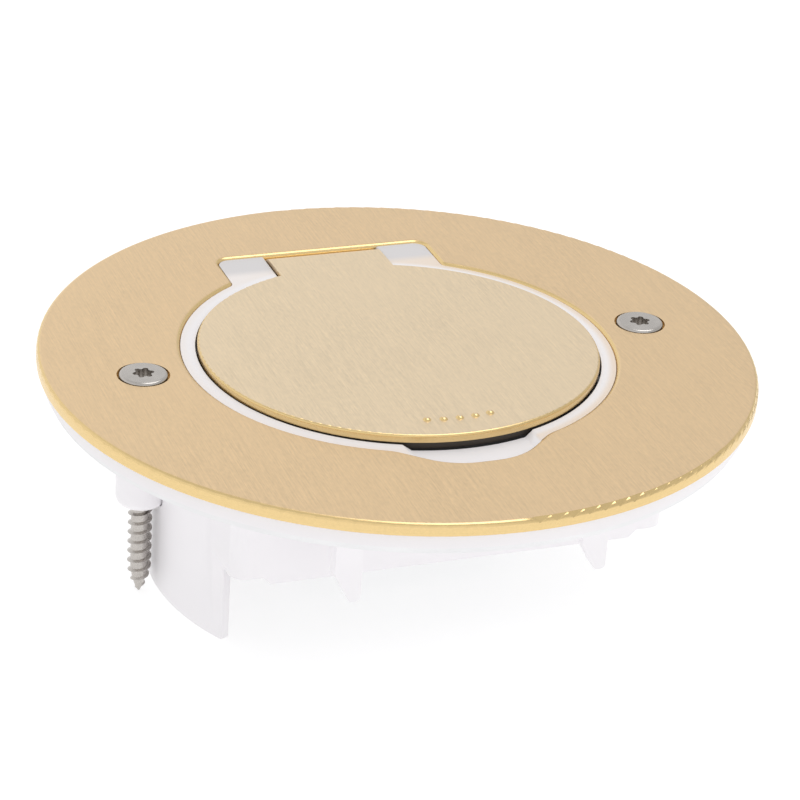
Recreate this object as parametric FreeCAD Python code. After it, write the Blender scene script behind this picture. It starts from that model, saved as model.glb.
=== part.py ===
"""Round floor socket box: a brass cover plate with a hinged lid over a recessed power outlet.

Millimetres.  +Z is up.  Z = 0 is the plane where the floor seal lies on the floor and the Z axis is
the centre line of the cover plate.  The lid's hinge is on the +Y side, the finger notch on the -Y side.
"""
import FreeCAD
import Part
import math
import os

# ---------------------------------------------------------------- driving dimensions
# cover plate
plate_rim_width = 17.3
plate_thickness = 2.2
plate_edge_round = 0.9
aperture_radius = 39.4
aperture_edge_round = 0.9
notch_floor_half_width = 6.2
notch_side_angle = 41.4
notch_depth = 4.4
notch_corner_round = 12.0
notch_blend_round = 8.0
hinge_recess_half_width = 21.0
hinge_recess_back = 44.5
hinge_recess_corner_round = 2.4
hinge_recess_blend_round = 1.6

# plate screws
plate_screw_web = 0.95
plate_screw_head_radius = 4.35
plate_screw_head_height = 1.6
plate_screw_head_round = 0.6
plate_screw_seat_depth = 1.2
plate_screw_length = 42.4
plate_screw_core_radius = 1.65
plate_screw_thread_radius = 2.2
plate_screw_thread_pitch = 2.0
plate_screw_thread_crest = 0.35
plate_screw_tip_length = 6.0
plate_screw_shank_length = 16.0
plate_screw_tip_crest_share = 0.35
lobe_count = 6
lobe_circle_radius = 1.45
lobe_radius = 0.5
lobe_recess_depth = 1.2

# support frame
floor_seal_thickness = 1.2
floor_seal_inset = 0.6
floor_seal_boss_gap = 1.4
flange_inset = 1.0
flange_thickness = 2.8
liner_seat_thickness = 0.8
frame_wall = 1.8
deck_thickness = 1.8
deck_hole_radius = 25.9
box_end_inside_guard = 4.4
box_half_width = 32.5
box_corner_round = 3.0
box_depth = 19.8
box_step_length = 6.9
box_step_height = 1.4
guard_depth = 36.1
guard_screw_gap = 0.6
guard_boss_gap = 0.3
guard_start_angle = 90.0
guard_end_angle = 210.0
screw_boss_radius = 4.5
screw_boss_depth = 19.3
screw_boss_end_round = 1.7
fin_positions = (-24.2, 21.0)
fin_front = 44.9
fin_thickness = 2.6
fin_width = 4.8
fin_tip_width = 2.0
fin_depth = 17.7
fin_straight_depth = 12.3
fin_tip_round = 0.9
trough_wall = 1.4
box_inner_corner_round = 1.2

# aperture liner
liner_wall = 3.3
liner_seat_width = 3.6
liner_hinge_half_width = 24.0
liner_hinge_back = 47.0
liner_lip_drop = 0.45
well_radius = 36.7
seat_drop = 4.0
seat_inner_radius = 32.6
scoop_floor_drop = 1.5
scoop_half_width = 10.4
scoop_end_slope = 1.6

# lid
lid_radius = 36.35
lid_thickness = 1.45
lid_edge_round = 0.5
lid_top_proud = 0.1
lid_rest_angle = 0.85
tab_half_width = 11.25
tab_thickness = 1.0
hinge_y = 41.4
hinge_drop = 2.6
hinge_pin_radius = 0.9
hinge_pin_half_length = 17.0
knuckle_radius = 1.6
backing_radius = 36.0
backing_thickness = 1.25
backing_rim_width = 3.4
backing_recess_depth = 0.6
web_thickness = 1.0
lid_seal_outer_radius = 36.2
lid_seal_inner_radius = 33.4
mark_count = 5
mark_radius = 0.75
mark_height = 0.45
mark_circle_radius = 30.5
mark_spacing_angle = 5.5
tab_root_overlap = 4.0

# socket face and its parts
face_radius = 32.2
face_flange_thickness = 1.4
face_seal_outer_radius = 27.8
face_seal_inner_radius = 26.4
recess_radius = 19.75
recess_depth = 15.0
recess_wall = 1.75
recess_floor_thickness = 2.2
recess_mouth_chamfer = 0.8
contact_spacing = 19.0
contact_hole_radius = 2.65
contact_hole_chamfer = 0.6
earth_pin_offset = 10.0
earth_pin_radius = 2.4
earth_pin_height = 14.0
earth_stem_radius = 2.0
earth_rivet_radius = 2.7
earth_rivet_height = 0.8
socket_screw_offset = 29.3
small_screw_head_radius = 2.3
small_screw_head_height = 1.2
small_screw_shank_radius = 1.25
small_screw_slot_width = 0.7
small_screw_slot_depth = 0.6
socket_screw_head_height = 0.9
socket_screw_length = 7.5
socket_boss_radius = 3.1
socket_boss_depth = 8.0
liner_screw_radius_from_centre = 36.0
liner_screw_angles = (45.0, 135.0, 225.0, 315.0)
liner_screw_length = 4.4

# shutter, contacts and their housing
housing_front = -12.4
housing_corner_round = 3.0
housing_depth = 14.0
housing_outer_wall = 1.6
shutter_chamber_height = 2.8
shelf_thickness = 1.2
shutter_half_length = 13.2
shutter_half_width = 3.1
shutter_travel = 6.0
shutter_stop_gap = 0.4
ramp_rim_height = 0.6
spring_coil_radius = 0.85
spring_wire_radius = 0.2
spring_turns = 6
spring_peg_radius = 0.5
spring_peg_length = 1.0
clip_gap = 4.4
clip_thickness = 0.7
clip_half_width = 3.0
clip_flare = 0.9
terminal_centre = 17.4
terminal_half_length = 3.0
terminal_half_width = 3.6
terminal_height = 7.8
terminal_gap = 0.3
wire_hole_radius = 1.9
terminal_screw_radius = 1.25
terminal_screw_access_radius = 1.6
compartment_half_width = 4.6
strap_thickness = 0.8
rear_cover_thickness = 1.4
wire_entry_radius = 2.15
cover_screw_x = 19.8
cover_screw_y = 9.6
cover_screw_boss_radius = 3.0
cover_screw_boss_height = 7.0
cover_screw_grip = 5.5
wire_entry_lead_in = 0.6
terminal_screw_sink = 0.6
terminal_screw_tip_gap = 0.2
spring_end_gap = 0.05
clip_pinch_share = 0.65
earth_pin_round_share = 0.7

# clearances
sliding_clearance = 0.2
liner_clearance = 0.3
lip_clearance = 0.04
seal_clearance = 0.3
hinge_clearance = 0.05
tab_side_clearance = 0.15
hinge_sweep_clearance = 0.35
screw_clearance = 0.35
pilot_clearance = 0.02
pilot_extra_depth = 0.5
pilot_end_gap = 0.2
leaf_end_gap = 0.4
rivet_gap = 0.4
strap_screw_clearance = 0.1
pocket_wall = 0.8

# how far pieces of one solid are sunk into each other, and cutters run past a face
sink = 0.5
overrun = 1.0
skin = 0.1

# ---------------------------------------------------------------- levels and places worked out from them
flange_bottom = floor_seal_thickness
flange_top = flange_bottom + flange_thickness
plate_top = flange_top + plate_thickness
liner_seat = flange_bottom + liner_seat_thickness
lip_top = plate_top - liner_lip_drop
seat_top = plate_top - seat_drop
scoop_floor = plate_top - scoop_floor_drop
deck_top = 0.0
deck_bottom = deck_top - deck_thickness
hinge_z = plate_top - hinge_drop
lid_top = plate_top + lid_top_proud
lid_bottom = lid_top - lid_thickness
tab_outer_radius = lid_top - hinge_z
tab_inner_radius = tab_outer_radius - tab_thickness
backing_bottom = lid_bottom - backing_thickness
face_top = seat_top
face_bottom = face_top - face_flange_thickness
recess_floor = face_top - recess_depth
recess_underside = recess_floor - recess_floor_thickness
recess_outer_radius = recess_radius + recess_wall
shelf_top = recess_underside - shutter_chamber_height
shelf_bottom = shelf_top - shelf_thickness
housing_bottom = recess_underside - housing_depth
cover_bottom = housing_bottom - rear_cover_thickness
contact_x = contact_spacing / 2
earth_back_face = earth_pin_offset + earth_rivet_radius + sliding_clearance
earth_terminal_y = earth_back_face - terminal_half_length
housing_back = earth_back_face + strap_thickness + terminal_gap + housing_outer_wall
housing_half_length = terminal_centre + terminal_half_length + terminal_gap + housing_outer_wall
shutter_top = recess_underside - sliding_clearance
shutter_bottom = shelf_top + sliding_clearance
spring_z = (shutter_top + shutter_bottom) / 2
chamber_front = -(shutter_half_width + shutter_travel + shutter_stop_gap + spring_coil_radius)
liner_ledge_outer_radius = well_radius + liner_wall
drum_inner_radius = liner_ledge_outer_radius + liner_clearance
drum_outer_radius = drum_inner_radius + frame_wall
liner_base_radius = drum_inner_radius + liner_seat_width
well_half_width = tab_half_width + tab_side_clearance
hinge_sweep_radius = tab_outer_radius + hinge_sweep_clearance
terminal_bottom = housing_bottom + terminal_gap
terminal_top = terminal_bottom + terminal_height
plate_screw_seat = plate_top - plate_screw_seat_depth
plate_screw_hole_radius = plate_screw_thread_radius + screw_clearance
plate_screw_offset = liner_base_radius + liner_clearance + plate_screw_web + plate_screw_hole_radius
plate_radius = plate_screw_offset + plate_rim_width
flange_radius = plate_radius - flange_inset
floor_seal_outer_radius = flange_radius - floor_seal_inset
floor_seal_inner_radius = plate_screw_offset + screw_boss_radius + floor_seal_boss_gap
notch_reach = aperture_radius + notch_depth
guard_outer_radius = plate_screw_offset - plate_screw_thread_radius - guard_screw_gap
box_half_length = guard_outer_radius - box_end_inside_guard
box_step_from = box_half_length - box_step_length
small_pilot_radius = small_screw_shank_radius + pilot_clearance
small_hole_radius = small_screw_shank_radius + screw_clearance
stem_hole_radius = earth_stem_radius + pilot_clearance
compartment_inner_end = contact_x - clip_gap / 2 - clip_thickness - clip_flare - leaf_end_gap
compartment_outer_end = housing_half_length - housing_outer_wall
terminal_screw_level = (terminal_bottom + terminal_top) / 2
earth_terminal_top = shelf_bottom - strap_thickness - earth_rivet_height - rivet_gap
terminal_screw_end = terminal_centre + wire_hole_radius + terminal_screw_tip_gap

cutter_reach = 3 * plate_radius
WORLD_X = FreeCAD.Vector(1, 0, 0)
WORLD_Y = FreeCAD.Vector(0, 1, 0)
WORLD_Z = FreeCAD.Vector(0, 0, 1)
LID_OPENING_AXIS = FreeCAD.Vector(-1, 0, 0)


# ---------------------------------------------------------------- shape helpers
def point(x, y, z):
    return FreeCAD.Vector(x, y, z)


def rod(radius, low, high, x=0.0, y=0.0):
    """Upright cylinder from z = low to z = high."""
    return Part.makeCylinder(radius, high - low, point(x, y, low), WORLD_Z)


def rod_along(axis, radius, start, length):
    return Part.makeCylinder(radius, length, start, axis)


def ring(outer, inner, low, high):
    return rod(outer, low, high).cut(rod(inner, low - overrun, high + overrun))


def block(x0, x1, y0, y1, low, high):
    return Part.makeBox(x1 - x0, y1 - y0, high - low, point(x0, y0, low))


def join(first, *others):
    """Fuse shapes that touch or overlap into one clean solid."""
    return first.fuse(list(others)).removeSplitter()


def remove(shape, *cutters):
    return shape.cut(list(cutters)).removeSplitter()


def extrude_along_x(outline, x0, x1):
    """Prism from (y, z) points."""
    corners = [point(x0, y, z) for y, z in outline]
    face = Part.Face(Part.makePolygon(corners + corners[:1]))
    return face.extrude(point(x1 - x0, 0, 0))


def extrude_along_y(outline, y0, y1):
    """Prism from (x, z) points."""
    corners = [point(x, y0, z) for x, z in outline]
    face = Part.Face(Part.makePolygon(corners + corners[:1]))
    return face.extrude(point(0, y1 - y0, 0))


def turned(outline, x=0.0, y=0.0):
    """Solid of revolution about an upright axis from (radius, z) points."""
    corners = [point(x + radius, y, z) for radius, z in outline]
    face = Part.Face(Part.makePolygon(corners + corners[:1]))
    return face.revolve(point(x, y, 0), WORLD_Z, 360)


def is_vertical_line(edge):
    start = edge.Vertexes[0].Point
    end = edge.Vertexes[-1].Point
    upright = math.hypot(start.x - end.x, start.y - end.y) < 0.001 and abs(start.z - end.z) > 0.01
    return upright and edge.Curve.TypeId == "Part::GeomLine"


def vertical_edges_at(shape, places, reach=0.05):
    """Upright straight edges that stand at the given (x, y) places."""
    found = []
    for edge in shape.Edges:
        if not is_vertical_line(edge):
            continue
        foot = edge.Vertexes[0].Point
        if any(math.hypot(foot.x - x, foot.y - y) < reach for x, y in places):
            found.append(edge)
    return found


def level_edges(shape, level, accept):
    """Edges that lie in the plane z = level and whose points all pass the test accept(x, y)."""
    found = []
    for edge in shape.Edges:
        samples = edge.discretize(5)
        if all(abs(p.z - level) < 0.001 for p in samples) and all(accept(p.x, p.y) for p in samples):
            found.append(edge)
    return found


def everywhere(x, y):
    return True


def rounded_block(x0, x1, y0, y1, low, high, corner):
    shape = block(x0, x1, y0, y1, low, high)
    places = [(x, y) for x in (x0, x1) for y in (y0, y1)]
    return shape.makeFillet(corner, vertical_edges_at(shape, places))


def tilted_with_lid(shape):
    """Turn a lid piece from level to its resting tilt about the hinge axis."""
    turned_shape = shape.copy()
    turned_shape.rotate(point(0, hinge_y, hinge_z), LID_OPENING_AXIS, lid_rest_angle)
    return turned_shape


def opening_prism(gap, low, high):
    """Outline of the plate's aperture, shrunk by gap: a circle, a finger notch and a hinge recess."""
    round_radius = aperture_radius - gap
    reach = notch_reach - gap
    slope = math.tan(math.radians(notch_side_angle))
    floor_half = notch_floor_half_width - gap * math.tan(math.radians(notch_side_angle / 2))
    side_start = reach + slope * floor_half
    spread = 1 + slope ** 2
    root_x = (slope * side_start - math.sqrt(spread * round_radius ** 2 - side_start ** 2)) / spread
    root_y = slope * root_x - side_start
    corners = [point(0, 0, low), point(-root_x, root_y, low), point(-floor_half, -reach, low),
               point(floor_half, -reach, low), point(root_x, root_y, low), point(0, 0, low)]
    notch = Part.Face(Part.makePolygon(corners)).extrude(point(0, 0, high - low))
    recess_half = hinge_recess_half_width - gap
    recess_back = hinge_recess_back - gap
    recess = block(-recess_half, recess_half, 0, recess_back, low, high)
    shape = join(rod(round_radius, low, high), notch, recess)
    recess_root_y = math.sqrt(round_radius ** 2 - recess_half ** 2)
    rounds = [
        (notch_corner_round - gap, floor_half, -reach),
        (notch_blend_round + gap, root_x, root_y),
        (hinge_recess_corner_round - gap, recess_half, recess_back),
        (hinge_recess_blend_round + gap, recess_half, recess_root_y),
    ]
    for radius, x, y in rounds:
        edges = vertical_edges_at(shape, [(-x, y), (x, y)])
        shape = shape.makeFillet(radius, edges)
    return shape


def slotted_screw(head_radius, head_height, shank_radius, length):
    """Small screw standing upright, head on top, head underside at z = 0."""
    shape = join(rod(head_radius, 0, head_height), rod(shank_radius, -length, 0))
    half_slot = small_screw_slot_width / 2
    slot = block(-cutter_reach, cutter_reach, -half_slot, half_slot,
                 head_height - small_screw_slot_depth, head_height + overrun)
    return remove(shape, slot)


def placed(shape, x, y, z, axis=None, angle=0.0):
    copy = shape.copy()
    if axis is not None:
        copy.rotate(point(0, 0, 0), axis, angle)
    copy.translate(point(x, y, z))
    return copy


# ---------------------------------------------------------------- plate and its screws
def make_cover_plate():
    opening = opening_prism(0.0, flange_top - overrun, plate_top + overrun)
    plate = rod(plate_radius, flange_top, plate_top).cut(opening)
    near_rim = plate_radius - plate_edge_round / 2

    def on_rim(x, y):
        return math.hypot(x, y) > near_rim

    def on_opening(x, y):
        return math.hypot(x, y) < near_rim

    plate = plate.makeFillet(plate_edge_round, level_edges(plate, plate_top, on_rim))
    plate = plate.makeFillet(aperture_edge_round, level_edges(plate, plate_top, on_opening))
    for side in (-1, 1):
        x = side * plate_screw_offset
        seat = rod(plate_screw_head_radius + screw_clearance, plate_screw_seat, plate_top + overrun, x)
        hole = rod(plate_screw_hole_radius, flange_top - overrun, plate_top, x)
        plate = remove(plate, seat, hole)
    return plate


def threaded_shank():
    """Plain shank, then equal thread ridges that shrink towards the tip, as a solid of revolution."""
    tip = -plate_screw_length
    radius = plate_screw_thread_radius
    half_crest = plate_screw_thread_crest / 2
    flank = radius - plate_screw_core_radius
    outline = [(0.0, sink), (radius, sink), (radius, -plate_screw_shank_length)]
    outline.append((plate_screw_core_radius, -plate_screw_shank_length - flank))
    crest = -plate_screw_shank_length - plate_screw_thread_pitch
    while crest > tip + plate_screw_thread_pitch:
        share = min(1.0, (crest - tip) / plate_screw_tip_length)
        core = plate_screw_core_radius * share
        outer = core + flank * min(1.0, plate_screw_tip_crest_share + share)
        outline.append((core, crest + half_crest + flank))
        outline.append((outer, crest + half_crest))
        outline.append((outer, crest - half_crest))
        outline.append((core, crest - half_crest - flank))
        crest -= plate_screw_thread_pitch
    outline.append((0.0, tip))
    return turned(outline)


def make_plate_screw():
    """Screw with its head's underside at z = 0: raised round head, six-lobe recess, coarse thread."""
    top = plate_screw_head_height
    head = rod(plate_screw_head_radius, 0, top)
    head = head.makeFillet(plate_screw_head_round, level_edges(head, top, everywhere))
    recess_low = top - lobe_recess_depth
    recess = rod(lobe_circle_radius, recess_low, top + overrun)
    for index in range(lobe_count):
        angle = 2 * math.pi * index / lobe_count
        x = lobe_circle_radius * math.cos(angle)
        y = lobe_circle_radius * math.sin(angle)
        recess = recess.fuse(rod(lobe_radius, recess_low, top + overrun, x, y))
    return remove(join(head, threaded_shank()), recess)


def make_plate_screws():
    screw = make_plate_screw()
    return [placed(screw, side * plate_screw_offset, 0, plate_screw_seat) for side in (-1, 1)]


# ---------------------------------------------------------------- support frame, skirt and floor seal
def make_floor_seal():
    return ring(floor_seal_outer_radius, floor_seal_inner_radius, 0, floor_seal_thickness)


def fin(centre_x):
    """Small tapering guide plate: straight on its right side, sloped on its left."""
    left = centre_x - fin_width / 2
    right = centre_x + fin_width / 2
    outline = [(left, flange_bottom + sink), (right, flange_bottom + sink), (right, -fin_depth),
               (right - fin_tip_width, -fin_depth), (left, -fin_straight_depth)]
    plate = extrude_along_y(outline, -fin_front, -fin_front + fin_thickness)
    tips = []
    for edge in plate.Edges:
        first = edge.Vertexes[0].Point
        last = edge.Vertexes[-1].Point
        at_tip = abs(first.z + fin_depth) < 0.001 and abs(last.z + fin_depth) < 0.001
        if at_tip and abs(first.x - last.x) < 0.001:
            tips.append(edge)
    return plate.makeFillet(fin_tip_round, tips)


def screw_boss(x, radius):
    boss = rod(radius, -screw_boss_depth, flange_top, x)
    return boss.makeFillet(screw_boss_end_round, level_edges(boss, -screw_boss_depth, everywhere))


def liner_base_prism(gap, low, high):
    """Outline of the liner's base plate, grown by gap: a disc with a square end at the hinge."""
    half_width = liner_hinge_half_width + gap
    disc = rod(liner_base_radius + gap, low, high)
    return join(disc, block(-half_width, half_width, 0, liner_hinge_back + gap, low, high))


def hinge_sweep(radius, half_width):
    return rod_along(WORLD_X, radius, point(-half_width, hinge_y, hinge_z), 2 * half_width)


def frame_blank(boss_radius):
    """The frame's outer form, before its holes: flange, drum, hinge trough, fins and bosses."""
    flange = rod(flange_radius, flange_bottom, flange_top)
    drum = rod(drum_outer_radius, deck_bottom, flange_top)
    trough_half = well_half_width + trough_wall
    trough_reach = hinge_sweep_radius + trough_wall
    trough = block(-trough_half, trough_half, hinge_y - trough_reach, hinge_y + trough_reach,
                   hinge_z - trough_reach, flange_bottom + sink)
    blank = join(flange, drum, trough)
    for centre_x in fin_positions:
        front_fin = fin(centre_x)
        blank = join(blank, front_fin, placed(front_fin, 0, 0, 0, WORLD_Z, 180))
    for side in (-1, 1):
        socket_boss = rod(socket_boss_radius, deck_top - socket_boss_depth, deck_top,
                          0, side * socket_screw_offset)
        blank = join(blank, screw_boss(side * plate_screw_offset, boss_radius), socket_boss)
    return blank


def liner_screw_places():
    angles = [math.radians(degrees) for degrees in liner_screw_angles]
    reach = liner_screw_radius_from_centre
    return [(reach * math.cos(angle), reach * math.sin(angle)) for angle in angles]


def make_support_frame():
    frame = frame_blank(screw_boss_radius)
    frame = remove(frame, liner_base_prism(liner_clearance, liner_seat, flange_top + overrun),
                   rod(drum_inner_radius, deck_top, flange_top + overrun),
                   rod(deck_hole_radius, deck_bottom - overrun, deck_top + overrun),
                   hinge_sweep(hinge_sweep_radius, well_half_width))
    pilot_low = deck_top - socket_screw_length - pilot_extra_depth
    for side in (-1, 1):
        plate_screw_hole = rod(plate_screw_hole_radius, -screw_boss_depth - overrun, flange_top + overrun,
                               side * plate_screw_offset)
        pilot = rod(small_pilot_radius, pilot_low, deck_top + overrun, 0, side * socket_screw_offset)
        frame = remove(frame, plate_screw_hole, pilot)
    for x, y in liner_screw_places():
        frame = remove(frame, rod(small_hole_radius, deck_bottom - overrun, deck_top + overrun, x, y))
    return frame


def box_wall():
    """Rectangular wall below the flange, with a raised step at both ends of its lower edge."""
    low = -box_depth
    inner_x = box_half_length - frame_wall
    inner_y = box_half_width - frame_wall
    outer = rounded_block(-box_half_length, box_half_length, -box_half_width, box_half_width,
                          low, flange_top, box_corner_round)
    inner = rounded_block(-inner_x, inner_x, -inner_y, inner_y,
                          low - overrun, flange_top + overrun, box_inner_corner_round)
    wall = outer.cut(inner)
    level = low + box_step_height
    for side in (-1, 1):
        start = side * box_step_from
        shoulder = side * (box_step_from + box_step_height)
        beyond = side * (box_half_length + overrun)
        step = [(start, low - overrun), (start, low), (shoulder, level), (beyond, level),
                (beyond, low - overrun)]
        wall = wall.cut(extrude_along_y(step, -cutter_reach, cutter_reach))
    return wall


def curved_guard():
    """Deep wall on one side, a sector of a tube about the centre line."""
    sweep = guard_end_angle - guard_start_angle
    height = guard_depth + flange_bottom + sink
    foot = point(0, 0, -guard_depth)
    outer = Part.makeCylinder(guard_outer_radius, height, foot, WORLD_Z, sweep)
    inner = Part.makeCylinder(guard_outer_radius - frame_wall, height, foot, WORLD_Z, sweep)
    guard = outer.cut(inner)
    guard.rotate(point(0, 0, 0), WORLD_Z, guard_start_angle)
    return guard


def make_guard_skirt():
    """Rectangular wall and curved guard in one, shaped to lie against the frame's underside."""
    return remove(join(box_wall(), curved_guard()), frame_blank(screw_boss_radius + guard_boss_gap))


def make_liner_screws():
    screw = slotted_screw(small_screw_head_radius, small_screw_head_height, small_screw_shank_radius,
                          liner_screw_length - small_screw_head_height)
    return [placed(screw, x, y, deck_bottom, WORLD_X, 180) for x, y in liner_screw_places()]


# ---------------------------------------------------------------- aperture liner
def make_aperture_liner():
    """Collar in the aperture: lip flush below the plate's edge, seat for the lid's seal, hinge blocks."""
    base = liner_base_prism(0.0, liner_seat, flange_top)
    lip = opening_prism(lip_clearance, flange_top - skin, lip_top)
    ledge = rod(liner_ledge_outer_radius, deck_top, liner_seat + skin)
    liner = join(base, lip, ledge)
    above = lip_top + overrun
    well = rod(well_radius, seat_top, above)
    throat = rod(seat_inner_radius, deck_top - overrun, seat_top + overrun)
    slope_end = scoop_half_width + scoop_end_slope
    scoop = extrude_along_y([(-scoop_half_width, scoop_floor), (scoop_half_width, scoop_floor),
                             (slope_end, lip_top), (slope_end, above),
                             (-slope_end, above), (-slope_end, lip_top)],
                            -cutter_reach, -well_radius / 2)
    hinge_well = block(-well_half_width, well_half_width, seat_inner_radius, hinge_y, seat_top, above)
    well_back = block(-well_half_width, well_half_width, hinge_y, hinge_recess_back, hinge_z, above)
    liner = remove(liner, well, throat, scoop, hinge_well, well_back,
                   hinge_sweep(hinge_sweep_radius, well_half_width),
                   hinge_sweep(hinge_pin_radius + pilot_clearance, liner_hinge_half_width))
    pilot_top = deck_bottom + liner_screw_length - small_screw_head_height + pilot_end_gap
    for x, y in liner_screw_places():
        liner = remove(liner, rod(small_pilot_radius, deck_top - overrun, pilot_top, x, y))
    return liner


# ---------------------------------------------------------------- lid
def lid_mark(index):
    """One of the row of plain raised dots near the lid's front edge."""
    angle = math.radians(-90 + (index - (mark_count - 1) / 2) * mark_spacing_angle)
    x = mark_circle_radius * math.cos(angle)
    y = mark_circle_radius * math.sin(angle)
    ball_radius = (mark_radius ** 2 + mark_height ** 2) / (2 * mark_height)
    ball = Part.makeSphere(ball_radius, point(x, y, lid_top + mark_height - ball_radius))
    return ball.common(rod(mark_radius + overrun, lid_top - skin, lid_top + overrun, x, y))


def make_lid_plate():
    disc = rod(lid_radius, lid_bottom, lid_top)
    disc = disc.makeFillet(lid_edge_round, level_edges(disc, lid_top, everywhere))
    tab = block(-tab_half_width, tab_half_width, lid_radius - tab_root_overlap, hinge_y,
                lid_top - tab_thickness, lid_top)
    curl = hinge_sweep(tab_outer_radius, tab_half_width).cut(hinge_sweep(tab_inner_radius, tab_half_width))
    upper_back_quarter = block(-tab_half_width, tab_half_width, hinge_y, hinge_y + tab_outer_radius,
                               hinge_z, lid_top)
    lid = join(disc, tab, curl.common(upper_back_quarter))
    for index in range(mark_count):
        lid = join(lid, lid_mark(index))
    return tilted_with_lid(lid)


def make_lid_backing():
    """Moulded liner under the lid: a shallow dish whose knuckle turns on the hinge pin."""
    disc = rod(backing_radius, backing_bottom, lid_bottom)
    dish = rod(backing_radius - backing_rim_width, backing_bottom - overrun,
               backing_bottom + backing_recess_depth)
    knuckle_half = tab_half_width - tab_side_clearance
    web_top = lid_top - tab_thickness
    web = block(-knuckle_half, knuckle_half, backing_radius - tab_root_overlap, hinge_y,
                web_top - web_thickness, web_top)
    web = web.cut(rod(lid_radius, lid_bottom, lid_top))
    backing = join(disc, web, hinge_sweep(knuckle_radius, knuckle_half))
    backing = remove(backing, dish, hinge_sweep(hinge_pin_radius + hinge_clearance, tab_half_width))
    return tilted_with_lid(backing)


def make_lid_seal():
    """Rubber lip: follows the lid's tilt above, lies level on the seat below."""
    band = ring(lid_seal_outer_radius, lid_seal_inner_radius, deck_top, backing_bottom)
    above_seat = block(-cutter_reach, cutter_reach, -cutter_reach, cutter_reach,
                       seat_top + seal_clearance, cutter_reach)
    return tilted_with_lid(band).common(above_seat)


def make_hinge_pin():
    pin = rod_along(WORLD_X, hinge_pin_radius, point(-hinge_pin_half_length, hinge_y, hinge_z),
                    2 * hinge_pin_half_length)
    ends = [edge for edge in pin.Edges if abs(abs(edge.BoundBox.Center.x) - hinge_pin_half_length) < 0.001]
    return pin.makeChamfer(hinge_pin_radius / 3, ends)


# ---------------------------------------------------------------- socket face and recess floor
def cover_screw_places():
    return [(side * cover_screw_x, -side * cover_screw_y) for side in (-1, 1)]


def make_socket_face():
    """Round face whose deep cup takes the plug; two bosses outside the cup take the rear screws."""
    face = join(rod(face_radius, face_bottom, face_top), rod(recess_outer_radius, recess_floor, face_top))
    boss_top = recess_floor + cover_screw_boss_height
    for x, y in cover_screw_places():
        face = join(face, rod(cover_screw_boss_radius, recess_floor, boss_top, x, y))
    mouth_radius = recess_radius + recess_mouth_chamfer
    above = face_top + overrun
    below = recess_floor - overrun
    mouth = turned([(0, below), (recess_radius, below), (recess_radius, face_top - recess_mouth_chamfer),
                    (mouth_radius, face_top), (mouth_radius, above), (0, above)])
    face = remove(face, mouth)
    pilot_top = recess_floor + cover_screw_grip + pilot_end_gap
    for x, y in cover_screw_places():
        face = remove(face, rod(small_pilot_radius, below, pilot_top, x, y))
    head_seat = face_top - socket_screw_head_height
    for side in (-1, 1):
        y = side * socket_screw_offset
        shank = rod(small_hole_radius, face_bottom - overrun, above, 0, y)
        seat = rod(small_screw_head_radius + sliding_clearance, head_seat, above, 0, y)
        face = remove(face, shank, seat)
    return face


def make_recess_floor():
    """Plate that closes the cup: two pin holes with funnels, and ears for the rear screws."""
    plate = rod(recess_outer_radius, recess_underside, recess_floor)
    for x, y in cover_screw_places():
        plate = join(plate, rod(cover_screw_boss_radius, recess_underside, recess_floor, x, y))
    below = recess_underside - overrun
    above = recess_floor + overrun
    funnel_radius = contact_hole_radius + contact_hole_chamfer
    for side in (-1, 1):
        hole = turned([(0, below), (contact_hole_radius, below),
                       (contact_hole_radius, recess_floor - contact_hole_chamfer),
                       (funnel_radius, recess_floor), (funnel_radius, above), (0, above)], side * contact_x)
        plate = remove(plate, hole)
    for x, y in cover_screw_places():
        plate = remove(plate, rod(small_hole_radius, below, above, x, y))
    return remove(plate, rod(stem_hole_radius, below, above, 0, earth_pin_offset))


def make_socket_seal():
    return ring(face_seal_outer_radius, face_seal_inner_radius, deck_top, face_bottom)


def make_socket_screws():
    screw = slotted_screw(small_screw_head_radius, socket_screw_head_height, small_screw_shank_radius,
                          socket_screw_length)
    level = face_top - socket_screw_head_height
    return [placed(screw, 0, side * socket_screw_offset, level) for side in (-1, 1)]


def make_earth_pin():
    """Pin in the recess with a rounded tip, a stem through floor and tray, and a riveted foot."""
    top = recess_floor + earth_pin_height
    strap_bottom = shelf_bottom - strap_thickness
    pin = rod(earth_pin_radius, recess_floor, top)
    pin = pin.makeFillet(earth_pin_radius * earth_pin_round_share, level_edges(pin, top, everywhere))
    stem = rod(earth_stem_radius, strap_bottom, recess_floor)
    foot = rod(earth_rivet_radius, strap_bottom - earth_rivet_height, strap_bottom)
    return placed(join(pin, stem, foot), 0, earth_pin_offset, 0)


# ---------------------------------------------------------------- shutter tray, housing and rear cover
def housing_outline(low, high):
    return rounded_block(-housing_half_length, housing_half_length, housing_front, housing_back,
                         low, high, housing_corner_round)


def make_shutter_tray():
    """Shallow tray under the recess floor in which the shutter slides."""
    tray = housing_outline(shelf_bottom, recess_underside)
    half_length = shutter_half_length + sliding_clearance
    above = recess_underside + overrun
    below = shelf_bottom - overrun
    chamber = block(-half_length, half_length, chamber_front, shutter_half_width + sliding_clearance,
                    shelf_top, above)
    tray = remove(tray, chamber, rod(stem_hole_radius, below, above, 0, earth_pin_offset))
    for side in (-1, 1):
        tray = remove(tray, rod(contact_hole_radius + sliding_clearance, below, above, side * contact_x))
    for x, y in cover_screw_places():
        tray = remove(tray, rod(small_hole_radius, below, above, x, y))
    return tray


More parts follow.
